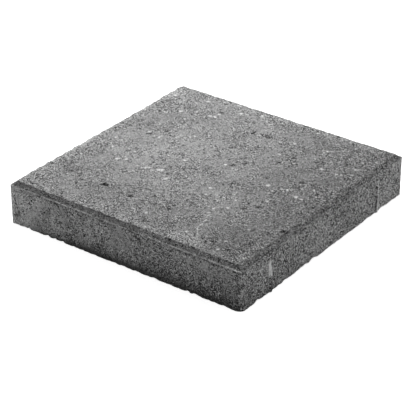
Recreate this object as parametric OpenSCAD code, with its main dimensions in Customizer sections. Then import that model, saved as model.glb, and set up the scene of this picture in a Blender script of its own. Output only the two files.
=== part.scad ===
// A square paving slab, cast in one piece from dry-mix concrete.
// It lies on its underside with its walking face up.
// The origin is the centre of the underside and +Z is up.
// The +X and +Y sides carry the spacer nibs, and the -X and -Y sides are plain.

/* [Slab] */
// Length of each side, without the nibs
slab_side = 300; // [150:1:900]
// Thickness from the underside to the walking face
slab_thickness = 50; // [30:1:100]
// Radius of the four upright corners
corner_radius = 2.5; // [1:0.5:10]

/* [Top edge] */
// How far the chamfer runs in across the walking face
chamfer_run = 4; // [2:0.5:10]
// How far the chamfer drops below the walking face
chamfer_drop = 4; // [2:0.5:10]
// Width of the flat ledge between the foot of the chamfer and the side
ledge_width = 1.5; // [0.5:0.5:5]

/* [Spacer nibs] */
// How far a nib stands proud of the side
nib_proud = 1.5; // [1:0.25:3]
// Width of a nib where it meets the side
nib_width = 5; // [4:0.5:12]
// Plain stretch of the side between the ledge and the top of a nib
nib_gap = 10; // [5:1:15]
// Length of the taper over which a nib fades out at its top
nib_taper = 8; // [3:1:10]
// Distance from a corner of the slab to the middle of the nearest nib
nib_inset = 50; // [20:1:70]

/* [Hidden] */
$fn = 96;
concrete_grey = [0.53, 0.53, 0.53];

half_side = slab_side / 2;
ledge_height = slab_thickness - chamfer_drop;
nib_height = ledge_height - nib_gap;

// A nib is the outer part of an upright round bar.
// The bar's radius follows from the nib's width and how proud it stands.
nib_radius = (pow(nib_width / 2, 2) + pow(nib_proud, 2)) / (2 * nib_proud);
nib_offset = half_side + nib_proud - nib_radius;
// How far the taper's small end lies behind the side, so that the taper runs out of it cleanly
nib_bury = 0.2;

// Outline of the slab in section, from the underside to the walking face
section = [
    [-half_side, 0],
    [half_side, 0],
    [half_side, ledge_height],
    [half_side - ledge_width, ledge_height],
    [half_side - ledge_width - chamfer_run, slab_thickness],
    [-half_side + ledge_width + chamfer_run, slab_thickness],
    [-half_side + ledge_width, ledge_height],
    [-half_side, ledge_height],
];

// The section carried along Y for the whole length of the slab
module section_along_y() {
    translate([0, half_side, 0])
        rotate([90, 0, 0])
            linear_extrude(height = slab_side)
                polygon(section);
}

// The plan outline with its rounded corners, over the whole thickness
module rounded_plan() {
    corner = half_side - corner_radius;
    linear_extrude(height = slab_thickness)
        union() {
            square([slab_side, 2 * corner], center = true);
            square([2 * corner, slab_side], center = true);
            for (x = [-corner, corner], y = [-corner, corner])
                translate([x, y])
                    circle(r = corner_radius);
        }
}

// The cast body: one section along each direction gives the mitred top edge
module body() {
    intersection() {
        section_along_y();
        rotate([0, 0, 90]) section_along_y();
        rounded_plan();
    }
}

// One upright nib on the +X side, centred at y
module nib(y) {
    shoulder = nib_height - nib_taper;
    buried_taper = nib_taper * (nib_proud + nib_bury) / nib_proud;
    translate([nib_offset, y, 0]) {
        cylinder(r = nib_radius, h = shoulder);
        translate([0, 0, shoulder])
            cylinder(r1 = nib_radius, r2 = nib_radius - nib_proud - nib_bury, h = buried_taper);
    }
}

// The two nibs of the +X side
module nib_pair() {
    for (y = [-half_side + nib_inset, half_side - nib_inset])
        nib(y);
}

module slab() {
    color(concrete_grey)
        union() {
            body();
            nib_pair();
            rotate([0, 0, 90]) nib_pair();
        }
}

slab();
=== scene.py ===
import itertools
import math

import bpy
import numpy as np
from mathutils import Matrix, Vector


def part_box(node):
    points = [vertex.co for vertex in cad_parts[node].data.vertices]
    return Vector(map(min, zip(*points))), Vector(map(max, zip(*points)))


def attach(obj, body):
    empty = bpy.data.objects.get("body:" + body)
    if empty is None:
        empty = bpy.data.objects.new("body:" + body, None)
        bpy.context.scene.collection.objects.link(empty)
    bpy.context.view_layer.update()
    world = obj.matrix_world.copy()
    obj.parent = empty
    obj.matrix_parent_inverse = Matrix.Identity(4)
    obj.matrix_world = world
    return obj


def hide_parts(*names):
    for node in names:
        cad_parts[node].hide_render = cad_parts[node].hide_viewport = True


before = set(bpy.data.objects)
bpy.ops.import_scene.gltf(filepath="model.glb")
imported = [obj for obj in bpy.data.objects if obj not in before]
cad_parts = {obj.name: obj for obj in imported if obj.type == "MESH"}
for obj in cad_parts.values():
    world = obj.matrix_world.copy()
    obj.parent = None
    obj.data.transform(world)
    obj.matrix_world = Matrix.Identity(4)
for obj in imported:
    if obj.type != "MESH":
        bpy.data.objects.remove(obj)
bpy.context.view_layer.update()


# -----------------------------------------------------------------------------
# Camera
# It looks down on the slab over the corner between the plain -Y side and the +X side with its nibs, from far
# off with a long lens, so that the slab's edges hardly converge. Its lengths are in metres.

camera_azimuth = math.radians(36.5)
camera_elevation = math.radians(29.4)
camera_distance = 1.89
camera_lens_mm = 151.4
aim_to_the_left = 0.0011

towards_camera = Vector((
    math.sin(camera_azimuth) * math.cos(camera_elevation),
    -math.cos(camera_azimuth) * math.cos(camera_elevation),
    math.sin(camera_elevation),
))
camera_right = Vector((math.cos(camera_azimuth), math.sin(camera_azimuth), 0))

camera = bpy.data.objects.new("camera", bpy.data.cameras.new("camera"))
bpy.context.scene.collection.objects.link(camera)
bpy.context.scene.camera = camera
camera.data.lens = camera_lens_mm
camera.location = towards_camera * camera_distance - camera_right * aim_to_the_left
camera.rotation_mode = "QUATERNION"
camera.rotation_quaternion = towards_camera.to_track_quat("Z", "Y")


# -----------------------------------------------------------------------------
# Slab
# One block of dry-mix concrete, pressed in a steel mould and pushed out while still green. The stamp leaves
# the even walking face with its chamfer and ledge, the mould drags the sides, and the board it stood on while
# it set leaves the underside. The bottom edge is never pressed and stays ragged.

# Sizes in millimetres
MM = 0.001
box_low, box_high = (np.array(corner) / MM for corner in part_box("slab"))
half_side = -box_low[0]
slab_height = box_high[2]
nib_proud = box_high[0] - half_side

# The stamped edge round the walking face, and the upright corners' radius below it and at the face
chamfer_run = 4.0
chamfer_drop = 4.0
ledge_width = 1.5
ledge_height = slab_height - chamfer_drop
face_inset = ledge_width + chamfer_run
corner_radius = 2.0
face_corner_radius = 1.2

# The nibs of the +X and +Y sides: how far each is from its side's middle, and how it fades out at its top
nib_place = 100.0
nib_width = 5.0
nib_top = 36.0
nib_taper = 8.0


def lines_along_a_side(half, count, finer):
    """Places of count + 1 grid lines from -half to half, symmetric about the middle.

    The lines' density is 1 plus, for each (place, width, extra) in finer, a bell curve of that height and
    width at the place and at its mirror image. Each gap between lines holds the same share of its integral.
    """
    samples = 6001
    fine = np.linspace(-half, half, samples)
    density = np.ones_like(fine)
    for place, width, extra in finer:
        density += extra * np.exp(-((np.abs(fine) - place) / width) ** 2)
    running = np.concatenate([[0], np.cumsum((density[1:] + density[:-1]) / 2)])
    return np.interp(np.linspace(0, running[-1], count + 1), running, fine)


# The mesh's lines along a side are closer at the corners and at the nibs
side_cells = 222
side_lines = lines_along_a_side(half_side, side_cells, [(half_side, 4.0, 1.6), (nib_place, 4.0, 1.2)])


def loop_round(half, radius):
    """One closed loop of points round a square of half side `half` whose corners are arcs of that radius.

    Each side takes the grid lines scaled to its length. Past the straight stretch, the share of the length
    that is left becomes an angle of 0 to 45 degrees on the corner's arc. The sides follow each other
    anticlockwise from -Y. half and radius are one number each, or one for each point of the loop.
    """
    lines = np.tile(side_lines[:-1], 4)
    along = lines * half / half_side
    straight = half - radius
    share = np.clip((np.abs(along) - straight) / radius, 0, 1)
    angle = share * math.pi / 4
    along = np.where(share > 0, np.sign(along) * (straight + radius * np.sin(angle)), along)
    out = half - radius * (1 - np.cos(angle))
    turn = np.repeat(np.arange(4), side_cells) * math.pi / 2
    return along * np.cos(turn) + out * np.sin(turn), along * np.sin(turn) - out * np.cos(turn)


def eased_line(corners, wear, stations):
    """The straight line through `corners`, eased and read at distances `stations` from its start.

    Each point becomes the average of its neighbours on the line, weighted by a bell curve of width `wear`,
    which rounds the corners and leaves the straight stretches where they are.
    """
    steps_in_wear = 12
    steps_out = 3 * steps_in_wear
    corners = np.array(corners, float)
    at = np.concatenate([[0], np.cumsum(np.hypot(*np.diff(corners, axis=0).T))])
    fine = np.arange(0, at[-1], wear / steps_in_wear)
    weights = np.exp(-(np.arange(-steps_out, steps_out + 1) / steps_in_wear) ** 2)
    weights /= weights.sum()
    eased = []
    for values in corners.T:
        line = np.pad(np.interp(fine, at, values), steps_out, mode="reflect", reflect_type="odd")
        eased.append(np.interp(stations, fine, np.convolve(line, weights, "valid")))
    return eased


def ramp(values, start, end):
    """0 before start, 1 after end, and the curve 3t^2 - 2t^3 between them; start may be the larger."""
    t = np.clip((values - start) / (end - start), 0, 1)
    return t * t * (3 - 2 * t)


def smooth_noise(points, cell, seed):
    """Smooth random values from -1 to 1.

    A random number sits at each corner of a lattice of cubes of side `cell`. A point blends the eight
    corners of its cube by the curve 6t^5 - 15t^4 + 10t^3 along each axis. The lattice repeats after 64 cubes.
    """
    cubes = 64
    table = np.random.default_rng(seed).uniform(-1, 1, (cubes, cubes, cubes))
    scaled = points / cell
    cube = np.floor(scaled).astype(int)
    t = scaled - cube
    t = t ** 3 * (t * (6 * t - 15) + 10)
    value = np.zeros(len(points))
    for corner in itertools.product((0, 1), repeat=3):
        weight = np.prod(np.where(corner, t, 1 - t), axis=1)
        i, j, k = ((cube + corner) % cubes).T
        value += weight * table[i, j, k]
    return value


def layered_noise(points, cell, layers, seed):
    """Smooth noise summed over layers, each with half the cell and 0.6 of the height of the one before it.

    The sum is scaled so that it spreads about 1 either way. Each layer is shifted, so that no two of their
    lattices lie on each other.
    """
    fade, shift = 0.6, 31.7
    total = sum(
        fade ** n * smooth_noise(points + shift * n, cell / 2 ** n, seed + n) for n in range(layers))
    return total * 2 / math.sqrt(sum(fade ** (2 * n) for n in range(layers)))


def pocks(points, cell, share, seed):
    """Depth, from 0 to 1, of round hollows scattered at random.

    Each cube of a lattice of side `cell` holds one centre at a random place, and a share of them count, with
    a radius r of 0.2 to 0.45 cell. At a distance d from a centre the depth is (r / 0.45 cell) times
    (1 - (d/r)^2)^2, and the deepest hollow counts. The lattice repeats after 40 cubes.
    """
    cubes = 40
    smallest, largest = 0.2, 0.45
    random = np.random.default_rng(seed)
    centres = random.uniform(0, 1, (cubes, cubes, cubes, 3))
    radii = random.uniform(smallest, largest, (cubes, cubes, cubes))
    radii = radii * (random.uniform(0, 1, (cubes, cubes, cubes)) < share)
    scaled = points / cell
    cube = np.floor(scaled).astype(int)
    deepest = np.zeros(len(points))
    for step in itertools.product((-1, 0, 1), repeat=3):
        i, j, k = ((cube + step) % cubes).T
        distance = np.linalg.norm(scaled - cube - step - centres[i, j, k], axis=1)
        radius = np.maximum(radii[i, j, k], 1e-6)
        deepest = np.maximum(deepest, radius / largest * np.clip(1 - (distance / radius) ** 2, 0, 1) ** 2)
    return deepest


# The stamped edge: its section as (distance in from the side, height), from just inside the walking face,
# down the chamfer, over the ledge and onto the side, and the distances along it at which the mesh has a loop
arris_wear = 0.4
face_arris_at = 3.0
foot_at = face_arris_at + math.hypot(chamfer_run, chamfer_drop)
ledge_arris_at = foot_at + ledge_width
section_end = ledge_height - 6
edge_corners = [
    (face_inset + face_arris_at, slab_height), (face_inset, slab_height), (ledge_width, ledge_height),
    (0, ledge_height), (0, section_end),
]
edge_stations = np.concatenate([
    face_arris_at + np.array([-0.9, -0.3, 0.3, 0.9]),
    np.linspace(face_arris_at + 2, foot_at - 1, 3),
    foot_at + np.array([-0.3, 0.3]),
    ledge_arris_at + np.array([-0.6, -0.2, 0.25, 0.8, 1.8, 3.0]),
])
edge_inset, edge_level = eased_line(edge_corners, arris_wear, edge_stations)
edge_inset = np.maximum(edge_inset, 0)
face_half = half_side - edge_inset[0]
side_top = edge_level[-1]

# How far in the bottom edge is broken away at each point round the slab: a ragged line, more ragged along
# -Y, most of all at its -X end, and round the corner between -Y and +X. The other three corners are rounder,
# and +X and +Y are a little more broken away all along
rim_x, rim_y = loop_round(half_side, corner_radius)
rim = np.stack([rim_x, rim_y, np.zeros_like(rim_x)], axis=1)
raggedness = 0.8 + 0.5 * (rim_y < 10 - half_side) + 1.2 * ramp(rim_x + rim_y, -200, -260)
raggedness += 0.7 * ramp(np.hypot(rim_x - half_side, rim_y + half_side), 150, 40)
missing = 0.55 * layered_noise(rim, 4.5, 2, seed=13) + 0.6 * pocks(rim, 8, 0.5, seed=17)
missing = raggedness * missing - 0.35
missing += 0.3 * ramp(rim_x + rim_y, 0, 60)
from_corner = np.hypot(half_side - np.abs(rim_x), half_side - np.abs(rim_y))
missing += 0.5 * np.exp(-(from_corner / 4) ** 2) * (rim_x - rim_y < 2 * half_side - 50)

# The larger bites out of the bottom edge, by the way that each side faces, (x, y), as (place along the side,
# half length, reach)
bites_by_side = {
    (0, -1): [
        (-140, 3, 2.0), (-126, 3, 4.5), (-113, 2, 2.5), (-101, 3, 5.5), (-90, 2, 3.0), (-79, 3, 5.5),
        (-64, 2, 2.5), (-52, 2, 2.0), (-35, 2, 1.5), (-3, 9, 1.4), (20, 6, 1.2), (32, 3, 1.8), (42, 3, 2.6),
        (64, 5, 1.0), (74, 2, 1.6), (84, 3, 1.6), (94, 4, 3.0), (119, 4, 2.2), (128, 4, 2.4),
    ],
    (1, 0): [
        (-123, 3, 5.0), (-111, 2, 1.6), (-74, 4, 2.4), (-47, 12, 2.6), (-38, 3, 3.0), (-24, 5, 4.6),
        (8, 6, 1.6), (24, 6, 1.6), (41, 5, 1.8), (80, 12, 1.2), (111, 6, 2.8), (128, 6, 1.4),
    ],
    (0, 1): [(60, 5, 2.6), (-84, 4, 3.0), (-20, 6, 1.6)],
    (-1, 0): [(90, 5, 2.4), (12, 4, 2.8), (-96, 6, 2.2)],
}
for (side_x, side_y), bites in bites_by_side.items():
    for place, half_length, reach in bites:
        off_x = rim_x - (half_side * side_x + place * abs(side_y))
        off_y = rim_y - (half_side * side_y + place * abs(side_x))
        missing += reach * np.exp(-(off_x ** 2 + off_y ** 2) / half_length ** 2)
missing = np.clip(missing, 0.1, 7)
missing_up = 0.45 * missing + 0.1

# The kinds of surface, and the rows of the mesh down the side, round the bottom edge and over the underside,
# these as shares of the way to its middle
STAMPED_EDGE, SIDE, UNDERSIDE, WALKING_FACE = range(4)
side_rows = 23
foot_rows = 6
underside_steps = np.array([0.008, 0.022, 0.045, 0.08, 0.15, 0.27, 0.45, 0.68, 0.9, 0.985])


def loops_of_the_band():
    """Every loop from the walking face's border down to the underside's middle, with the kind of each.

    The stamped edge follows its eased section. The side falls straight from it to the bottom edge, where the
    part that is missing reaches m inwards and h = 0.45 m + 0.1 upwards: for t from 0 to 1, the inset is
    m t^1.3 and the height h (1 - t). The underside shrinks towards its middle.
    """
    loops = []
    kinds = []
    for inset, level in zip(edge_inset, edge_level):
        radius = np.interp(inset, [0, face_inset], [corner_radius, face_corner_radius])
        x, y = loop_round(half_side - inset, radius)
        loops.append((x, y, np.full_like(x, level)))
        kinds.append(STAMPED_EDGE)
    for share in np.arange(1, side_rows) / side_rows:
        loops.append((rim_x, rim_y, side_top + (missing_up - side_top) * share))
        kinds.append(SIDE)
    for share in np.linspace(0, 1, foot_rows + 1):
        x, y = loop_round(half_side - missing * share ** 1.3, corner_radius)
        loops.append((x, y, missing_up * (1 - share)))
        kinds.append(SIDE)
    for share in underside_steps:
        x, y = loop_round((half_side - missing) * (1 - share), corner_radius * (1 - share) + 1e-3)
        loops.append((x, y, np.zeros_like(x)))
        kinds.append(UNDERSIDE)
    return np.stack([np.stack(loop, axis=1) for loop in loops]), np.array(kinds)


band, band_kind = loops_of_the_band()
band_loops, loop_points = band.shape[:2]
band_size = band_loops * loop_points

# Outward direction on the band: the cross product of the steps across and along the loops
step_across = np.gradient(band, axis=0)
step_along = np.roll(band, -1, axis=1) - np.roll(band, 1, axis=1)
band_out = np.cross(step_across, step_along)
band_out /= np.linalg.norm(band_out, axis=2, keepdims=True)

face_lines = side_lines[1:-1] * face_half / half_side
face_x, face_y = np.meshgrid(face_lines, face_lines)
face = np.stack([face_x.ravel(), face_y.ravel(), np.full(face_x.size, slab_height)], axis=1)

# All points: the band's, the walking face's within it and the underside's middle. x, y and height are views
# of them, so they follow each point that is moved in place
points = np.concatenate([band.reshape(-1, 3), face, [[0, 0, 0]]])
outward = np.concatenate([band_out.reshape(-1, 3), np.tile([0, 0, 1], (len(face), 1)), [[0, 0, -1]]])
x, y, height = points.T

# What each point lies on, from 0 to 1, and which of the four sides it is nearest to
kind = np.concatenate([np.repeat(band_kind, loop_points), np.full(len(face), WALKING_FACE), [UNDERSIDE]])
inside = half_side - np.maximum(np.abs(x), np.abs(y))
on_underside = (kind == UNDERSIDE).astype(float)
on_edge = (kind == STAMPED_EDGE) * ramp(inside, face_inset + 0.6, face_inset)
on_edge *= ramp(height, ledge_height - 1, ledge_height)
on_face = (kind == WALKING_FACE) | (kind == STAMPED_EDGE)
on_face = on_face * ramp(inside, face_inset - 0.3, face_inset + 0.6)
on_side = np.clip(1 - on_face - on_edge - on_underside, 0, 1)
faces_y = np.abs(y) > np.abs(x)
faces_minus_y = faces_y & (y < 0)
faces_plus_y = faces_y & (y > 0)
faces_minus_x = ~faces_y & (x < 0)
faces_plus_x = ~faces_y & (x > 0)

# Unevenness that several features share: sand, crumbs, lumps, the broad swell and the mould's drag marks
sand = layered_noise(points, 5.0, 2, seed=3)
lumps = layered_noise(points, 17, 3, seed=5)
swell = layered_noise(points, 90, 2, seed=8)
drag = layered_noise(points * [1, 1, 0.16], 3.4, 2, seed=21)
crumbs = layered_noise(points, 4.2, 2, seed=29)

# The upright corner between +X and -Y is worn off round towards its foot: past a radius, which grows from
# 2 mm at 18 mm up to 8 mm at the bottom, a point is drawn back onto the arc of that radius in plan
worn_radius = np.maximum(corner_radius + 6 * ramp(height + 3 * lumps, 18, 1) + 0.5 * crumbs, 0.5)
arc_centre = np.stack([half_side - worn_radius, worn_radius - half_side], axis=1)
from_centre = points[:, :2] - arc_centre
centre_distance = np.hypot(*from_centre.T)
worn_off = (from_centre[:, 0] > 0) & (from_centre[:, 1] < 0) & (centre_distance > worn_radius)
worn_off &= (kind == SIDE) | (kind == UNDERSIDE)
on_the_arc = arc_centre + from_centre * (worn_radius / np.maximum(centre_distance, 1e-6))[:, None]
points[worn_off, :2] = on_the_arc[worn_off]

# Small air holes in the walking face, with many more in its open border, and in the sides
open_border = on_face * ramp(inside + 5 * lumps, 26, 8) * np.where(faces_plus_x, 0.5, 1)
fine_pocks = pocks(points + 1.5 * sand[:, None], 8, 0.1, seed=41)
border_pocks = pocks(points + sand[:, None], 5, 0.4, seed=43) * open_border
border_pocks *= np.where(x < 12 - half_side, 0.5, 1)
side_pocks = pocks(points + 1.5 * sand[:, None], 7, 0.15, seed=47) * on_side

# How far inside a hole or a stone a point counts that is well outside them all, in mm
OUTSIDE = -3.0


def inside_ellipses(where, ellipses):
    """How far each point is inside one of some ellipses in plan, in mm, and below 0 outside them.

    Each is (x, y, half length, half width, turn in degrees). With r the distance from the centre in units of
    the half axes, the value is 1 - r times the half width. The most counts, and it is never below OUTSIDE.
    """
    within = np.full(len(where), OUTSIDE)
    for centre_x, centre_y, half_length, half_width, turn in ellipses:
        c, s = math.cos(math.radians(turn)), math.sin(math.radians(turn))
        off_x, off_y = where[:, 0] - centre_x, where[:, 1] - centre_y
        r = np.hypot((off_x * c + off_y * s) / half_length, (off_y * c - off_x * s) / half_width)
        within = np.maximum(within, (1 - r) * half_width)
    return within


def distance_to_course(where, course):
    """Distance in plan from each point to the line through the points of `course`, at its nearest part."""
    nearest = np.full(len(where), np.inf)
    course = np.array(course, float)
    for start, end in zip(course[:-1], course[1:]):
        step = end - start
        t = np.clip((where[:, :2] - start) @ step / (step @ step), 0, 1)
        nearest = np.minimum(nearest, np.linalg.norm(where[:, :2] - start - t[:, None] * step, axis=1))
    return nearest


# Larger holes of the walking face, as (x, y, half length, half width, turn in degrees)
large_holes = [
    (-64, -95, 4.5, 3.0, 20), (93, -39, 4.0, 1.5, 40), (64, 18, 3.5, 1.5, 36), (140, -66, 3.0, 2.0, 80),
    (80, -38, 2.0, 1.5, 0), (82, -51, 2.5, 1.5, 60), (88, -56, 2.0, 1.5, 0), (26, 30, 2.5, 1.5, 45),
    (18, 18, 2.0, 1.5, 0), (12, 95, 2.5, 1.5, 30), (-7, 93, 2.0, 1.5, 60), (-7, 51, 2.5, 1.5, 30),
    (53, 53, 2.0, 1.5, 0), (61, 71, 2.5, 1.5, 50), (86, 77, 2.5, 1.5, 40), (101, 31, 2.5, 1.5, 36),
    (31, 142, 2.5, 1.5, 0), (73, 142, 2.5, 1.5, 0), (-131, 28, 2.5, 1.5, 90), (-128, 46, 2.0, 1.5, 0),
    (-100, 25, 3.0, 1.5, 36), (-88, 41, 2.0, 1.5, 30), (-52, 25, 2.5, 1.5, 36), (-113, -94, 2.5, 1.5, 30),
    (-28, -100, 3.0, 2.0, 0), (-26, -37, 2.0, 1.5, 0), (-9, -85, 2.0, 1.5, 36), (3, -64, 2.0, 1.5, 0),
    (21, -97, 2.0, 1.5, 36), (96, -122, 2.5, 1.5, 0), (118, -127, 2.5, 1.5, 60), (128, -6, 2.0, 1.5, 0),
    (138, -8, 2.5, 1.5, 60), (-128, -139, 3.0, 2.0, 15),
]

# Its fine creases, as (half width, course in plan)
creases = [
    (0.5, [(-23, 71), (-16, 76), (-16, 84), (-12, 91)]), (0.4, [(-27, 77), (-20, 82)]),
    (1.0, [(-8, 91), (-9, 98)]), (1.0, [(7, 97), (13, 97)]), (0.8, [(-8, 50), (-6, 53)]),
    (0.5, [(-11, 56), (-10, 63)]), (0.9, [(24, 30), (27, 32)]), (0.5, [(24, 25), (24, 30)]),
    (0.5, [(39, 58), (45, 63)]), (0.5, [(46, 64), (55, 69), (59, 71)]), (0.9, [(59, 71), (60, 78)]),
    (0.6, [(32, 90), (38, 95), (40, 84)]), (0.5, [(89, 27), (97, 30)]), (0.9, [(97, 30), (102, 33)]),
    (0.4, [(102, 33), (105, 41)]), (0.8, [(-42, 125), (-35, 129)]), (0.6, [(-35, 129), (-28, 135)]),
    (0.8, [(111, 31), (114, 34)]), (0.7, [(62, 43), (67, 44)]), (0.8, [(85, 77), (88, 79)]),
    (0.5, [(-62, 50), (-55, 57), (-50, 59)]), (0.5, [(-24, 16), (-23, 23), (-30, 31)]),
    (0.6, [(-13, -13), (-6, -11)]), (0.5, [(-6, -22), (-3, -15)]), (0.6, [(-88, 75), (-85, 76)]),
    (0.7, [(-91, 41), (-89, 43)]), (0.7, [(142, 48), (145, 50)]), (0.7, [(106, 112), (108, 114)]),
    (0.5, [(107, 104), (117, 93)]), (0.8, [(124, 92), (126, 93)]), (0.8, [(129, 100), (131, 101)]),
]
hollow = inside_ellipses(points + 0.6 * sand[:, None], large_holes)
for half_width, course in creases:
    hollow = np.maximum(hollow, half_width - distance_to_course(points + 0.5 * crumbs[:, None], course))
hollow = np.where(on_face > 0.5, hollow, OUTSIDE)
hollowed = ramp(hollow, -0.1, 0.7)

# Where the stamped edge's two arrises and its ledge lie, and how nibbled and chipped the arrises are. The
# larger chips are given by (place along -Y or +X, size)
arris = (kind == STAMPED_EDGE) * np.exp(-((inside - face_inset) / 0.9) ** 2)
ledge = (kind == STAMPED_EDGE) * ramp(inside, ledge_width + 0.5, ledge_width - 0.1)
ledge *= ramp(height, ledge_height - 0.8, ledge_height)
ledge_arris = (kind == STAMPED_EDGE) * np.exp(-(inside / 0.8) ** 2)
ledge_arris *= ramp(height, ledge_height - 3, ledge_height)
nibbled = np.clip(layered_noise(points, 7, 3, seed=53) - 0.1, 0, 2)
chips = pocks(points, 13, 0.5, seed=57)
larger_chips = [(place, 5 - half_side, size) for place, size in ((-79, 3), (18, 3), (58, 4), (86, 4))]
larger_chips += [(half_side - 5, place, size) for place, size in ((-66, 4), (-97, 3))]
for chip_x, chip_y, size in larger_chips:
    chips = np.maximum(chips, np.exp(-((x - chip_x) ** 2 + (y - chip_y) ** 2) / size ** 2))

# Along +X the stamped edge has crevices, and short cracks as (y, distance in from the side, half length,
# strength)
crevices = pocks(points * [1, 0.6, 1.4] + 50, 5, 0.5, seed=59) * (x > half_side - 10)
crevices *= ramp(height, section_end, section_end + 4)
cracks = [
    (-134, 5.0, 4, 0.9), (-124, 1.6, 5, 0.7), (-118, 5.2, 4, 0.8), (-110, 1.5, 4, 0.8), (-97, 5.0, 4, 1.2),
    (-86, 1.6, 5, 0.7), (-76, 5.4, 3, 0.8), (-66, 5.6, 4, 1.6), (-56, 1.8, 4, 0.7), (-44, 5.0, 4, 0.7),
    (-30, 1.6, 6, 0.6), (-14, 5.2, 4, 0.6), (4, 1.6, 5, 0.6), (22, 5.0, 3, 0.9), (38, 1.6, 5, 0.5),
    (60, 5.0, 4, 0.6), (84, 1.6, 6, 0.5), (104, 5.0, 3, 0.8), (122, 4.6, 4, 1.0),
]
cracked = np.zeros(len(points))
for crack_y, in_from_side, half_length, strength in cracks:
    off = half_side - x - in_from_side + 0.5 * sand
    cracked += strength * np.exp(-((y - crack_y) / half_length) ** 2 - (off / 0.7) ** 2)
cracked *= height > section_end

# The groove under the ledge, and three deeper nicks in it on -Y, as (x, half length). Besides their small
# depth, they are painted dark as the shade under the ledge
groove = on_side * np.exp(-((height - ledge_height + 1.9) / 0.9) ** 2) * ramp(lumps, -1.2, 0.2)
for nick_x, half_length in ((-111, 4), (12, 4), (88, 3)):
    off = np.linalg.norm((points - [nick_x, -half_side, ledge_height - 0.8]) / [half_length, 3, 1.2], axis=1)
    groove = np.maximum(groove, 2 * np.exp(-off ** 2) * ((kind == STAMPED_EDGE) | (kind == SIDE)))

# Relief, as a depth below the mould's own surface
depth = on_face * (0.05 + 0.02 * sand + 0.03 * lumps + 0.05 * swell)
depth += on_face * (fine_pocks + 2.2 * hollowed) + 0.9 * border_pocks + 0.12 * open_border * crumbs
depth += on_edge * (0.05 + 0.05 * sand + 0.04 * lumps) + 0.5 * crevices + 0.4 * cracked
depth += arris * np.where(x < 10 - half_side, 0.2, 1) * (0.6 * nibbled + 1.8 * chips)
depth += 0.6 * ledge_arris * nibbled + 0.15 * groove
side_depth = 0.04 + 0.04 * drag + 0.05 * lumps + 0.06 * sand + 0.9 * side_pocks
depth += on_side * (np.where(faces_y, 1, 0.6) * side_depth + 0.22 * ramp(height, 13, 2) * crumbs)
depth += on_underside * (0.04 + 0.1 * lumps + 0.06 * crumbs)
depth = np.maximum(depth, 0)


def nib_rise(where):
    """How far the nibs stand proud at each point of the +X and +Y sides, in the order (along X, along Y).

    A nib is the outer part of an upright bar of radius R, with R from the nib's width w and height p:
    R = ((w/2)^2 + p^2) / 2p. Over the taper at its top the radius shrinks by p, so the nib runs out into the
    side.
    """
    radius = ((nib_width / 2) ** 2 + nib_proud ** 2) / (2 * nib_proud)
    shrunk = radius - nib_proud * np.clip((where[:, 2] - nib_top + nib_taper) / nib_taper, 0, 1)
    waver = 0.35 * layered_noise(where * [1, 1, 1.5], 9, 2, seed=61)
    rises = []
    for level_axis, side_axis in ((0, 1), (1, 0)):
        off = np.abs(np.abs(where[:, side_axis] + waver) - nib_place)
        rise = np.sqrt(np.maximum(shrunk ** 2 - off ** 2, 0)) - (radius - nib_proud)
        facing = (where[:, level_axis] > half_side - 0.5) & (np.abs(where[:, side_axis]) < half_side - 10)
        rises.append(np.where(facing, np.maximum(rise, 0), 0) * on_side)
    return rises


nib_x, nib_y = nib_rise(points)
depth *= 1 - 0.55 * np.maximum(nib_x, nib_y) / nib_proud

# The arris above -X is lumpy: paste crept out past it and stands over the chamfer, most at the +Y end
crust = 0.75 - 0.5 * ramp(y, -20, 20) + 0.8 * ramp(y, 60, 100)
crust += 0.6 * layered_noise(points, 3.6, 2, seed=97)
crust *= np.exp(-((inside - face_inset) / 1.2) ** 2) * (height > ledge_height + 1)
crust *= faces_minus_x * ramp(half_side - face_inset - np.abs(y), 0, 6)

# The finished points. From here on x and y are theirs, while height and what each lies on stay as they were
points = points - outward * depth[:, None]
points[:, 0] += nib_x - crust
points[:, 1] += nib_y
points = np.clip(points, box_low, box_high)
x, y = points[:, 0], points[:, 1]
near_minus_x = x < 6 - half_side
near_plus_x = x > half_side - 6
near_minus_y = y < 6 - half_side
near_plus_y = y > half_side - 6

# Larger pale stones of the walking face, as (x, y, radius)
pale_stones = [
    (-135, 119, 2.0), (-118, 77, 2.3), (-106, 89, 2.3), (-91, 99, 2.3), (-91, 77, 1.6), (-124, -4, 2.0),
    (-113, -24, 1.9), (-103, 28, 2.0), (-86, 24, 1.9), (-91, -43, 2.3), (-83, -38, 1.9), (-30, -2, 2.4),
    (-57, -43, 2.0), (-54, -41, 2.2), (-51, -39, 2.0), (-51, -48, 1.8), (-45, -41, 2.4), (-40, -37, 2.4),
    (-36, -34, 2.2), (-72, 100, 2.2), (-66, 101, 1.8), (-55, 49, 1.6), (129, 88, 1.8), (132, 90, 1.6),
    (104, 130, 1.8), (-47, 125, 1.8), (-22, -48, 2.3), (-117, -78, 1.7), (-95, 128, 2.0), (-66, 109, 2.0),
    (-41, 128, 2.3), (-25, 134, 2.3), (-12, 125, 1.7), (43, 100, 2.0), (43, 69, 1.7), (11, 15, 1.9),
    (82, 105, 2.0), (98, 87, 1.7), (100, 68, 1.9), (118, 67, 1.9), (74, 4, 2.4), (84, -3, 2.0),
    (96, 8, 2.0), (90, 6, 1.6), (111, 1, 2.6), (92, -25, 2.0), (119, 0, 1.7), (28, -36, 1.9),
    (7, -117, 1.9), (36, -106, 1.7), (106, -115, 1.7), (109, -133, 1.9), (140, -130, 1.7), (33, -50, 1.2),
    (50, -68, 1.5), (47, -70, 1.2), (57, -70, 1.2), (58, -79, 1.5), (50, -52, 1.3), (52, -44, 1.5),
    (42, -44, 1.3), (56, -33, 1.2), (65, -42, 1.3), (68, -60, 1.4), (65, -94, 1.2), (85, -119, 1.5),
    (111, -83, 1.6), (84, -65, 1.2),
]

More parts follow.
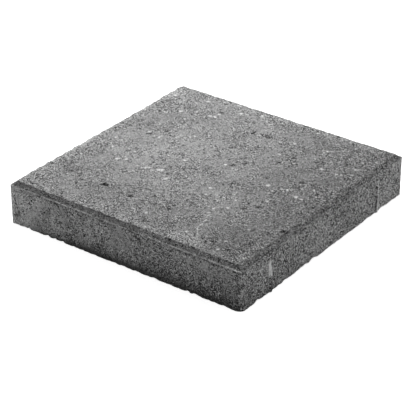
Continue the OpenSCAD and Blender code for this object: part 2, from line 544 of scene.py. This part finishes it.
# Its pale veins, as (half width, course): one near the front corner, one across its foot, and a faint one
veins = [
    (0.85 * ramp(sand, -2.2, -0.4), [(60, -83), (64, -90), (66, -102), (70, -115), (74, -122)]),
    (0.85 * ramp(crumbs, -2.2, -0.4), [(62, -123), (74, -127), (86, -131)]),
    (0.35, [(97, 98), (101, 105), (99, 115)]),
]
round_stones = [(stone_x, stone_y, radius, radius, 0) for stone_x, stone_y, radius in pale_stones]
mark = inside_ellipses(points + 0.3 * sand[:, None], round_stones)
wandering = points + np.stack([0.8 * crumbs, 0.8 * sand, np.zeros(len(points))], axis=1)
for half_width, course in veins:
    mark = np.maximum(mark, half_width - distance_to_course(wandering, course))
mark = np.where(on_face > 0.5, mark, OUTSIDE)

# The walking face's tone, added to plain concrete's: clouds and blotches, broad patches, as (x, y, radius,
# tone), a pale one along -Y, pale borders apart from +X's, and a fall towards +X, partly the face's own tone
# and partly painted shade for the light falling off across it
patches = [
    (-74, -12, 26, 0.42), (-105, -18, 18, 0.12), (-40, 5, 34, 0.16), (0, 40, 70, 0.12), (-15, -45, 26, 0.14),
    (80, -42, 22, 0.12), (50, -50, 20, 0.34), (-15, 45, 26, 0.12), (30, 15, 22, 0.10), (-30, -45, 20, 0.08),
    (76, -74, 18, 0.16), (120, 105, 24, 0.12), (-90, 135, 22, -0.12), (-75, 103, 20, -0.14),
    (-120, -92, 30, -0.18), (30, -105, 24, -0.22), (92, -108, 22, -0.12),
]
cloud = layered_noise(points, 60, 4, seed=71)
blotches = layered_noise(points, 13, 2, seed=73)
face_tone = 0.07 * cloud + 0.05 * blotches
for patch_x, patch_y, radius, tone in patches:
    face_tone += tone * np.exp(-((x - patch_x) ** 2 + (y - patch_y) ** 2) / radius ** 2)
face_tone += 0.45 * np.exp(-((x - 70) / 20) ** 2 - ((y + 134) / 8) ** 2)
face_tone += 0.22 * open_border * ~faces_plus_x
face_tone += faces_minus_x * (0.25 * ramp(inside, 12, 6) + 0.17 * ramp(inside, 19, 14))
face_tone += 0.2 * faces_plus_y * ramp(inside, 17, 10)
# Darker towards +X: partly the face's own tone, partly painted shade for the light falling off across the
# face
face_tone -= 0.36 * ramp(x + 8 * cloud, 20, 150)

# The sides' tone: clouds, and smears and stains that grow towards -X. Painted light and shade stand in for
# how
# the light falls on the two front sides: -Y is paler at its -X end and darker towards +X and at its foot, and
# +X is paler towards +Y and darker by the front corner, with two painted glints there
smears = layered_noise(points * [1, 1, 0.45] + 100, 11, 2, seed=79)
stains = layered_noise(points * [1, 1, 0.5] + 50, 6, 2, seed=89)
side_tone = 0.06 * cloud + 0.04 * blotches + (0.08 + 0.12 * ramp(x, 10, -60)) * smears
side_tone += (0.05 + 0.07 * ramp(x, -60, -110)) * stains
# Painted light on -Y's -X end, and painted shade towards +X and at its foot
side_tone += 0.36 * near_minus_y * ramp(x + 8 * lumps, -70, -150)
side_tone -= near_minus_y * (0.25 * ramp(x, -30, 80) * ramp(height, 40, 20) + 0.12 * ramp(x, 110, 135))
side_tone -= 0.12 * faces_minus_y * ramp(height, 18, 6)
# Painted light on +X towards +Y, and painted shade by the front corner
side_tone += near_plus_x * (0.25 * ramp(y, 60, 130) - 0.2 * ramp(y, -105, -140))
# Two painted glints on +X by the front corner
for spot_y, spot_height in ((-146, 40), (-139, 42)):
    spot = np.exp(-((y - spot_y) ** 2 + (height - spot_height) ** 2) / 1.6 ** 2)
    side_tone += 1.8 * (x > half_side - 4) * spot

# The upright arrises are worn white, the one between +X and -Y the most
front_corner = (x > 0) & (y < 0)
from_upright_arris = np.hypot(half_side - np.abs(x), half_side - np.abs(y))
from_upright_arris -= 0.4 * np.where(front_corner, worn_radius, corner_radius)
worn_white = np.where(front_corner, 1.2, 0.4) * ramp(sand, -1.4, 0.2) * ramp(height, 0, 20)
side_tone += worn_white * np.exp(-(from_upright_arris / 1.5) ** 2)

# The chamfer's tone, all painted shade and light: dark below its arris along -Y and +Y, less so at their
# -X end, darker by the front corner, and pale along the other two
edge_painted_shading = 0.12 * ~faces_y - 0.3 * faces_y * ramp(inside, face_inset - 2, face_inset - 0.5)
edge_painted_shading += 0.3 * faces_y * ramp(x, -140, -148)
edge_painted_shading -= 0.35 * faces_minus_y * ramp(x, 125, 138) * ramp(inside, ledge_width, ledge_width + 0.6)

# All the tone that is added, painted light and shade among it, with the arris's worn pale parts
pale = on_face * face_tone + on_side * side_tone + on_edge * edge_painted_shading
pale += np.where(faces_y, 0.6, 0.2) * arris * (1 - nibbled) * ramp(sand, -0.3, 0.8)

# The ledge is painted pale along -Y and +Y as a highlight, in dashes but for their +X end, and painted
# dark along the other two as shade
ledge_highlight_dashes = np.where(faces_y & (x < 130), ramp(1.2 * crumbs + lumps, -0.8, 0.6), 1)
pale += ledge * np.where(faces_y, 0.8, -0.25) * ledge_highlight_dashes
pale += 0.4 * ledge * faces_minus_y * ramp(x, 120, 130)

# The nibs on +X carry painted light and shade. Seen from the front corner on, the first has a pale streak
# before its middle, partly worn and partly a painted highlight, widest 21 to 25 mm up, flanks painted dark as
# shade, and low down a small dark spot half ringed by a pale line. The second has a thin pale line past its
# middle, a painted highlight on its crest, a dark one before it, painted shade on its flank, low down, and a
# faint pale patch past its top
on_nib_side = on_side * (x > half_side - 0.5) * (np.abs(y) < half_side - 10)
past_first = y + nib_place
past_second = y - nib_place
streak_half_width = 1.8 * ramp(height, 17, 21) * ramp(height, 43, 25)
streak = ramp(np.abs(past_first + 1.7), streak_half_width + 0.3, streak_half_width - 0.7)
streak *= ramp(streak_half_width, 0.1, 0.6)
flank_shade = np.exp(-((np.abs(past_first) - nib_width / 2) / 0.9) ** 2) * ramp(height, nib_top, nib_top - 10)
lower_dark_spot = np.exp(-((past_first - 1.2) ** 2 + (height - 9) ** 2) / 1.2 ** 2)
half_ring = np.exp(-((np.hypot(past_first, height - 8) - 3) / 0.7) ** 2) * (past_first > 0)
waver = 0.5 * layered_noise(points, 6, 1, seed=83)
crest_highlight_at = 0.1 + 1.4 * ramp(height, 22, 34) + 0.4 * waver
crest_highlight = np.exp(-((past_second - crest_highlight_at) / 1.2) ** 2)
crest_highlight *= ramp(crumbs, -2.0, -0.6) * ramp(height, 46, 38)
flank_shade_line = np.exp(-(past_second + 2.2 - waver) ** 2) * ramp(height, 34, 22)
flank_shade_line *= 0.6 + 0.4 * ramp(height, 14, 4)
upper_patch = np.exp(-((past_second - 5.5) / 3.5) ** 2 - ((height - 41) / 4) ** 2)
pale += on_nib_side * (streak * (4.6 + 0.4 * crumbs) + 4.2 * crest_highlight + 0.4 * upper_patch + 0.8 * half_ring)

# Painted shade darkens the foot of the two front sides, in place of the shadow there, up to about 17 mm at
# the front corner, less at its worn arris
foot_shade_height = 17 * ramp(x - 0.4 * y, -110, 60) * ramp(y, 40, -120)
foot_shade = ramp(height + 3 * lumps, foot_shade_height + 2, foot_shade_height - 12) + 0.6 * ramp(height, 7, 1)
foot_shade *= on_side * ramp(foot_shade_height, 0, 6) * np.where(faces_y, 0.95, 0.45)
foot_shade *= 1 - 0.5 * np.exp(-(from_upright_arris / 12) ** 2)

# The share of the tone taken away, from what each part leaves: painted shade in the air holes, hollows,
# crevices, cracks, chips and the groove, on the nibs' flanks and at the foot, and a dark spot low on a nib
air_holes = np.clip(0.8 * on_face * fine_pocks + 0.8 * border_pocks + 0.7 * side_pocks, 0, 1)
# Painted shade on the nibs' flanks, and the dark spot low on the first
nib_dark = on_nib_side * np.minimum(0.2 * flank_shade + 0.8 * flank_shade_line + 0.8 * lower_dark_spot, 1)
shades = [
    0.75 * air_holes, 0.35 * hollowed, 0.6 * np.clip(1.4 * crevices, 0, 1), 0.55 * np.clip(cracked, 0, 1.5),
    0.65 * np.minimum(foot_shade, 1.3), 0.45 * np.minimum(groove, 2), nib_dark,
    0.5 * arris * np.clip(2 * chips, 0, 1),
]
dark = 1 - np.prod([1 - shade for shade in shades], axis=0)

# How open the surface is, and so how much more strongly its sand shows: most in the walking face's border and
# on +X away from the front corner, and least on the hidden sides and at the -X end of the sides that face Y
openness = 0.9 * open_border + 0.2 * on_side * ramp(lumps, -0.5, 1)
off_front_corner = ramp(y, -140, -90)
plus_x_open = on_side * (0.5 + off_front_corner) + 0.8 * on_edge * off_front_corner
openness += plus_x_open * near_plus_x * ~faces_y
openness += 0.2 * on_side * faces_minus_y * ramp(x, 100, 130)
openness -= on_side * (0.25 * near_minus_x + 0.25 * near_plus_y)
openness -= 0.25 * on_side * faces_y * ramp(x, -60, -110)

# The mesh: the band's loops joined point to point, the walking face's grid hung on the first loop, and a fan
# that closes the underside on its middle point
loop_number = np.arange(band_size).reshape(band_loops, loop_points)
following = np.roll(loop_number, -1, axis=1)
band_quads = np.stack([loop_number[:-1], loop_number[1:], following[1:], following[:-1]], axis=2)

grid = np.empty((side_cells + 1, side_cells + 1), int)
border = np.append(loop_number[0], 0)
grid[0, :] = border[:side_cells + 1]
grid[:, -1] = border[side_cells:2 * side_cells + 1]
grid[-1, ::-1] = border[2 * side_cells:3 * side_cells + 1]
grid[::-1, 0] = border[3 * side_cells:]
grid[1:-1, 1:-1] = band_size + np.arange(len(face)).reshape(face_x.shape)
face_quads = np.stack([grid[:-1, :-1], grid[:-1, 1:], grid[1:, 1:], grid[1:, :-1]], axis=2)
quads = np.concatenate([band_quads.reshape(-1, 4), face_quads.reshape(-1, 4)])

middle = len(points) - 1
fan = np.stack([loop_number[-1], np.full(loop_points, middle), following[-1]], axis=1)

# The finishes read five values from the mesh: the tone added, the share of it taken away, the openness, and
# how far each point is inside a pale mark and inside a hollow
slab_mesh = bpy.data.meshes.new("slab_cast")
slab_mesh.from_pydata((points * MM).tolist(), [], quads.tolist() + fan.tolist())
slab_mesh.polygons.foreach_set("use_smooth", np.ones(len(slab_mesh.polygons), bool))
for name, values in dict(pale=pale, dark=dark, openness=openness, mark=mark, hollow=hollow).items():
    slab_mesh.attributes.new(name, "FLOAT", "POINT").data.foreach_set("value", values.astype(np.float32))
slab = bpy.data.objects.new("slab_cast", slab_mesh)
bpy.context.scene.collection.objects.link(slab)


def add_node(tree, node_type, inputs=(), **settings):
    """A new node: settings are its own properties, and inputs its sockets' values or what feeds them."""
    node = tree.nodes.new(node_type)
    for name, value in settings.items():
        setattr(node, name, value)
    for socket, value in dict(inputs).items():
        if isinstance(value, bpy.types.NodeSocket):
            tree.links.new(value, node.inputs[socket])
        else:
            node.inputs[socket].default_value = value
    return node


def maths(tree, operation, *values):
    """The result of one Math node on the given numbers or sockets."""
    return add_node(tree, "ShaderNodeMath", enumerate(values), operation=operation).outputs[0]


def vector_maths(tree, operation, inputs):
    """The vector that one Vector Math node makes of its inputs."""
    return add_node(tree, "ShaderNodeVectorMath", inputs, operation=operation).outputs["Vector"]


def weighted_sum(tree, start, *terms):
    """start plus the product of each (value, weight) in turn."""
    total = start
    for value, weight in terms:
        total = maths(tree, "MULTIPLY_ADD", value, weight, total)
    return total


def centred(tree, value):
    """A value that spreads about one half, moved to spread about 0."""
    return maths(tree, "SUBTRACT", value, 0.5)


def remap(tree, value, from_low, from_high, to_low=0.0, to_high=1.0):
    """value carried from one range to another, and held at the ends of the new one."""
    inputs = {
        "Value": value, "From Min": from_low, "From Max": from_high, "To Min": to_low, "To Max": to_high}
    return add_node(tree, "ShaderNodeMapRange", inputs).outputs["Result"]


def noise(tree, where, scale, detail, roughness=0.5):
    """Smooth noise about one half on the vector `where`, with `scale` cells a metre: its node's outputs."""
    inputs = {"Vector": where, "Scale": scale, "Detail": detail, "Roughness": roughness}
    return add_node(tree, "ShaderNodeTexNoise", inputs).outputs


def new_group(name, inputs, outputs):
    """An empty shader group, with its own inputs and outputs as seen from inside it.

    inputs gives each one's default, or None for a vector. The outputs are all floats.
    """
    tree = bpy.data.node_groups.new(name, "ShaderNodeTree")
    for socket, default in inputs.items():
        socket_type = "NodeSocketVector" if default is None else "NodeSocketFloat"
        made = tree.interface.new_socket(socket, in_out="INPUT", socket_type=socket_type)
        if default is not None:
            made.default_value = default
    for socket in outputs:
        tree.interface.new_socket(socket, in_out="OUTPUT", socket_type="NodeSocketFloat")
    return tree, tree.nodes.new("NodeGroupInput").outputs, tree.nodes.new("NodeGroupOutput").inputs


def sand_grain_group():
    """Grains of sand in cement paste: a tone that spreads about 0, and a height in millimetres.

    Noise with cells as wide as a grain gives the paste's unevenness, and noise five grains wide the mottle of
    the pressed skin. A Voronoi lattice, 1.6 times as fine, gives the grains: each cell is a low dome with a
    tone of its own, one in twelve is a pale grain that stands up, and one in ten a dark pit left by a grain.
    """
    tree, given, made = new_group(
        "sand grain", {"Vector": None, "Grain size": 2.0, "Contrast": 1.0}, ["Tone", "Height"])
    per_metre = maths(tree, "DIVIDE", 1 / MM, given["Grain size"])
    paste = noise(tree, given["Vector"], per_metre, 2.0, 0.7)["Fac"]
    mottle = noise(tree, given["Vector"], maths(tree, "MULTIPLY", per_metre, 0.2), 3.0, 0.6)["Fac"]
    inputs = {"Vector": given["Vector"], "Scale": maths(tree, "MULTIPLY", per_metre, 1.6)}
    cells = add_node(tree, "ShaderNodeTexVoronoi", inputs).outputs
    grain = add_node(tree, "ShaderNodeSeparateColor", {"Color": cells["Color"]}).outputs
    pale_grains = maths(tree, "GREATER_THAN", grain["Green"], 0.92)
    pits = maths(tree, "LESS_THAN", grain["Blue"], 0.1)
    tone = weighted_sum(
        tree, 0.0, (centred(tree, paste), 0.8), (centred(tree, grain["Red"]), 1.5),
        (centred(tree, mottle), 0.2), (pale_grains, 1.0), (pits, -0.7))
    height = weighted_sum(
        tree, 0.0, (paste, 0.9), (grain["Red"], 0.25), (cells["Distance"], -0.5), (pale_grains, 0.2),
        (pits, -0.4))
    tree.links.new(maths(tree, "MULTIPLY", tone, given["Contrast"]), made["Tone"])
    tree.links.new(maths(tree, "MULTIPLY", height, given["Contrast"]), made["Height"])
    return tree


def scattered_spots_group():
    """Ragged spots in a share of a Voronoi lattice's cells: a mask, 1 inside them, and the rim round each.

    It makes the small air holes and, with other values, the pale stones that show in the paste. A spot's
    radius is 0.45 to 1.35 times the one given, and its rim reaches half as far again.
    """
    inputs = {"Vector": None, "Spacing": 6.0, "Share": 0.3, "Spot radius": 1.0}
    tree, given, made = new_group("scattered spots", inputs, ["Mask", "Rim"])
    per_metre = maths(tree, "DIVIDE", 1 / MM, given["Spacing"])
    fray = noise(tree, given["Vector"], maths(tree, "MULTIPLY", per_metre, 3.5), 2.0)["Color"]
    shift = vector_maths(tree, "SUBTRACT", {0: fray, 1: (0.5, 0.5, 0.5)})
    reach = maths(tree, "MULTIPLY", given["Spot radius"], 2 * MM)
    shift = vector_maths(tree, "SCALE", {0: shift, "Scale": reach})
    moved = vector_maths(tree, "ADD", {0: given["Vector"], 1: shift})
    cells = add_node(tree, "ShaderNodeTexVoronoi", {"Vector": moved, "Scale": per_metre}).outputs
    pick = add_node(tree, "ShaderNodeSeparateColor", {"Color": cells["Color"]}).outputs
    counts = maths(tree, "LESS_THAN", pick["Red"], given["Share"])
    radius = maths(tree, "DIVIDE", given["Spot radius"], given["Spacing"])
    radius = maths(tree, "MULTIPLY", radius, maths(tree, "MULTIPLY_ADD", pick["Green"], 0.9, 0.45))
    spot = remap(tree, cells["Distance"], radius, maths(tree, "MULTIPLY", radius, 0.7))
    spread = remap(tree, cells["Distance"], maths(tree, "MULTIPLY", radius, 1.5), radius)
    tree.links.new(maths(tree, "MULTIPLY", counts, spot), made["Mask"])
    tree.links.new(maths(tree, "MULTIPLY", counts, maths(tree, "SUBTRACT", spread, spot)), made["Rim"])
    return tree


sand_grain = sand_grain_group()
scattered_spots = scattered_spots_group()


def mask_of(tree, name):
    """One of the values kept on the mesh."""
    return add_node(tree, "ShaderNodeAttribute", attribute_name=name).outputs["Fac"]


def concrete(name, base, grain, contrast, roughness, holes, stones, relief):
    """A cast concrete finish.

    base is the reflectance of the plain surface, grain the sand's size in mm and contrast how strongly it
    shows, which varies in patches 28 mm wide, in clusters 4 mm wide and with the openness on the mesh. holes
    and stones are (spacing in mm, share, radius in mm) for the small air holes and the pale stones, and
    relief scales the bump. The colour is base times a tone: 1, plus the sand's tone, what is pale on the
    mesh with its painted light, the stones and the marks, times what the air holes, the hollows and the
    mesh's dark share leave, which is painted shade in the holes and the rest of the mesh's painted shade.
    Noise 1.8 mm wide frays the edges of the marks and the hollows.
    """
    material = bpy.data.materials.new(name)
    material.use_nodes = True
    tree = material.node_tree
    shader = tree.nodes["Principled BSDF"]
    where = add_node(tree, "ShaderNodeTexCoord").outputs["Object"]

    patch_width, cluster_width, fray_width = 28 * MM, 4 * MM, 1.8 * MM
    patchiness = remap(tree, noise(tree, where, 1 / patch_width, 3.0)["Fac"], 0.4, 0.6, 0.6, 1.4)
    clustering = remap(tree, noise(tree, where, 1 / cluster_width, 2.0)["Fac"], 0.4, 0.6, 0.5, 1.5)
    contrast_here = maths(tree, "MULTIPLY_ADD", mask_of(tree, "openness"), contrast, contrast)
    contrast_here = maths(tree, "MULTIPLY", contrast_here, maths(tree, "MULTIPLY", patchiness, clustering))
    inputs = {"Vector": where, "Grain size": grain, "Contrast": contrast_here}
    sand_here = add_node(tree, "ShaderNodeGroup", inputs, node_tree=sand_grain).outputs

    spots = []
    for spacing, share, radius in (holes, stones):
        share_here = maths(tree, "MULTIPLY", patchiness, share)
        inputs = {"Vector": where, "Spacing": spacing, "Share": share_here, "Spot radius": radius}
        spots.append(add_node(tree, "ShaderNodeGroup", inputs, node_tree=scattered_spots).outputs)
    hole_spots, stone_spots = spots

    fray = maths(tree, "MULTIPLY", centred(tree, noise(tree, where, 1 / fray_width, 2.0)["Fac"]), 2.4)
    marks = remap(tree, maths(tree, "ADD", mask_of(tree, "mark"), fray), -0.2, 0.2)
    hollows = remap(tree, maths(tree, "ADD", mask_of(tree, "hollow"), fray), 0.0, 0.4)

    tone = weighted_sum(
        tree, 1.0, (sand_here["Tone"], 1.0), (mask_of(tree, "pale"), 1.0), (stone_spots["Mask"], 0.8),
        (hole_spots["Rim"], 0.35), (stone_spots["Rim"], -0.25), (marks, 1.35))
    # Painted shade: the air holes, the hollows and the mesh's dark share darken the tone
    for shade, left in ((hole_spots["Mask"], 0.12), (hollows, 0.42), (mask_of(tree, "dark"), 0.0)):
        tone = maths(tree, "MULTIPLY", tone, remap(tree, shade, 0, 1, 1.0, left))
    darkest, palest = 0.015, 0.95
    level = maths(tree, "MAXIMUM", maths(tree, "MULTIPLY", tone, base), darkest)
    level = maths(tree, "MINIMUM", level, palest)
    colour = add_node(tree, "ShaderNodeCombineColor", {"Red": level, "Green": level, "Blue": level})
    tree.links.new(colour.outputs["Color"], shader.inputs["Base Color"])

    roughness_here = remap(tree, sand_here["Tone"], -0.8, 0.8, roughness + 0.06, roughness - 0.06)
    tree.links.new(roughness_here, shader.inputs["Roughness"])
    shader.inputs["Specular IOR Level"].default_value = 0.25

    rise = weighted_sum(tree, sand_here["Height"], (hole_spots["Mask"], -0.7), (stone_spots["Mask"], 0.15))
    bump = add_node(tree, "ShaderNodeBump", {"Strength": relief, "Distance": MM, "Height": rise})
    tree.links.new(bump.outputs["Normal"], shader.inputs["Normal"])
    return material


FACE_FINISH, EDGE_FINISH, SIDE_FINISH, BOARD_FINISH = range(4)
finishes = [
    concrete("walking face", base=0.286, grain=1.4, contrast=1.38, roughness=0.88,
             holes=(7.0, 0.13, 1.5), stones=(11.0, 0.18, 1.0), relief=0.9),
    concrete("stamped edge", base=0.18, grain=1.5, contrast=1.4, roughness=0.85,
             holes=(7.0, 0.15, 1.2), stones=(11.0, 0.2, 1.1), relief=0.9),
    concrete("dragged side", base=0.283, grain=1.5, contrast=1.55, roughness=0.92,
             holes=(6.0, 0.16, 1.2), stones=(8.0, 0.22, 0.9), relief=1.0),
    concrete("board side", base=0.25, grain=1.8, contrast=1.4, roughness=0.92,
             holes=(7.0, 0.4, 1.5), stones=(14.0, 0.25, 1.6), relief=0.9),
]
for finish in finishes:
    slab_mesh.materials.append(finish)

# Each face of the mesh takes the finish of the mould part that made it, and the ledge the walking face's
rows = np.arange(band_loops - 1)
row_ends = [
    np.sum(edge_stations < face_arris_at) - 1, np.sum(edge_stations < foot_at),
    np.sum(edge_stations < ledge_arris_at), np.sum(band_kind != UNDERSIDE) - 1,
]
row_finish = np.select(
    [rows < end for end in row_ends], [FACE_FINISH, EDGE_FINISH, FACE_FINISH, SIDE_FINISH], BOARD_FINISH)
face_finish = np.full(side_cells ** 2, FACE_FINISH)
fan_finish = np.full(len(fan), BOARD_FINISH)
finish_numbers = np.concatenate([np.repeat(row_finish, loop_points), face_finish, fan_finish])
slab_mesh.polygons.foreach_set("material_index", finish_numbers.astype(np.int32))

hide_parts("slab")
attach(slab, "root")


# -----------------------------------------------------------------------------
# Floor
# A plain white sheet, 8 m square. It also glows, but only to rays that show the background, so it looks
# white, keeps a soft shadow and sends only a modest light back to the slab's sides.

floor_half = 4.0
floor_glow = 0.78
floor_corners = [(floor_half * i, floor_half * j, 0) for i, j in ((-1, -1), (1, -1), (1, 1), (-1, 1))]
floor_mesh = bpy.data.meshes.new("floor")
floor_mesh.from_pydata(floor_corners, [], [(0, 1, 2, 3)])
floor = bpy.data.objects.new("floor", floor_mesh)
bpy.context.scene.collection.objects.link(floor)


def looks_at_background(tree):
    """1 for a ray that shows the background: the camera's own, a reflected one or one through glass."""
    ray = add_node(tree, "ShaderNodeLightPath").outputs
    indirect = maths(tree, "MAXIMUM", ray["Is Glossy Ray"], ray["Is Transmission Ray"])
    return maths(tree, "MAXIMUM", ray["Is Camera Ray"], indirect)


floor_finish = bpy.data.materials.new("white sheet")
floor_finish.use_nodes = True
floor_tree = floor_finish.node_tree
paper = floor_tree.nodes["Principled BSDF"]
paper.inputs["Base Color"].default_value = (0.8, 0.8, 0.8, 1)
paper.inputs["Roughness"].default_value = 1.0
paper.inputs["Specular IOR Level"].default_value = 0.0
paper.inputs["Emission Color"].default_value = (1, 1, 1, 1)
glow = maths(floor_tree, "MULTIPLY", looks_at_background(floor_tree), floor_glow)
floor_tree.links.new(glow, paper.inputs["Emission Strength"])
floor_mesh.materials.append(floor_finish)


# -----------------------------------------------------------------------------
# Light
# Three broad soft lamps: the strongest high behind the slab and a little to the left, one on the right for
# the side with the nibs and a wide one on the left for the plain side. With an even pale surround, they light
# the walking face at about the level at which its colour is written.


def soft_lamp(name, place, size, power):
    """A square area lamp at `place`, in metres, turned to face the origin."""
    lamp = bpy.data.objects.new(name, bpy.data.lights.new(name, "AREA"))
    lamp.data.shape = "SQUARE"
    lamp.data.size = size
    lamp.data.energy = power
    lamp.location = place
    lamp.rotation_mode = "QUATERNION"
    lamp.rotation_quaternion = Vector(place).to_track_quat("Z", "Y")
    bpy.context.scene.collection.objects.link(lamp)


soft_lamp("back lamp", place=(-0.55, 0.45, 0.6), size=0.4, power=8)
soft_lamp("side lamp", place=(1.2, 0.45, 0.32), size=0.4, power=4)
soft_lamp("front lamp", place=(-1.0, -1.5, 0.6), size=0.8, power=3.5)

# The surround's strength as a light and as the background
surround_light = 0.36
surround_shown = 1.0
world = bpy.data.worlds.new("surround")
bpy.context.scene.world = world
world.use_nodes = True
world_tree = world.node_tree
background = world_tree.nodes["Background"]
background.inputs["Color"].default_value = (1, 1, 1, 1)
brightness = remap(world_tree, looks_at_background(world_tree), 0, 1, surround_light, surround_shown)
world_tree.links.new(brightness, background.inputs["Strength"])

bpy.context.scene.view_settings.view_transform = "Standard"
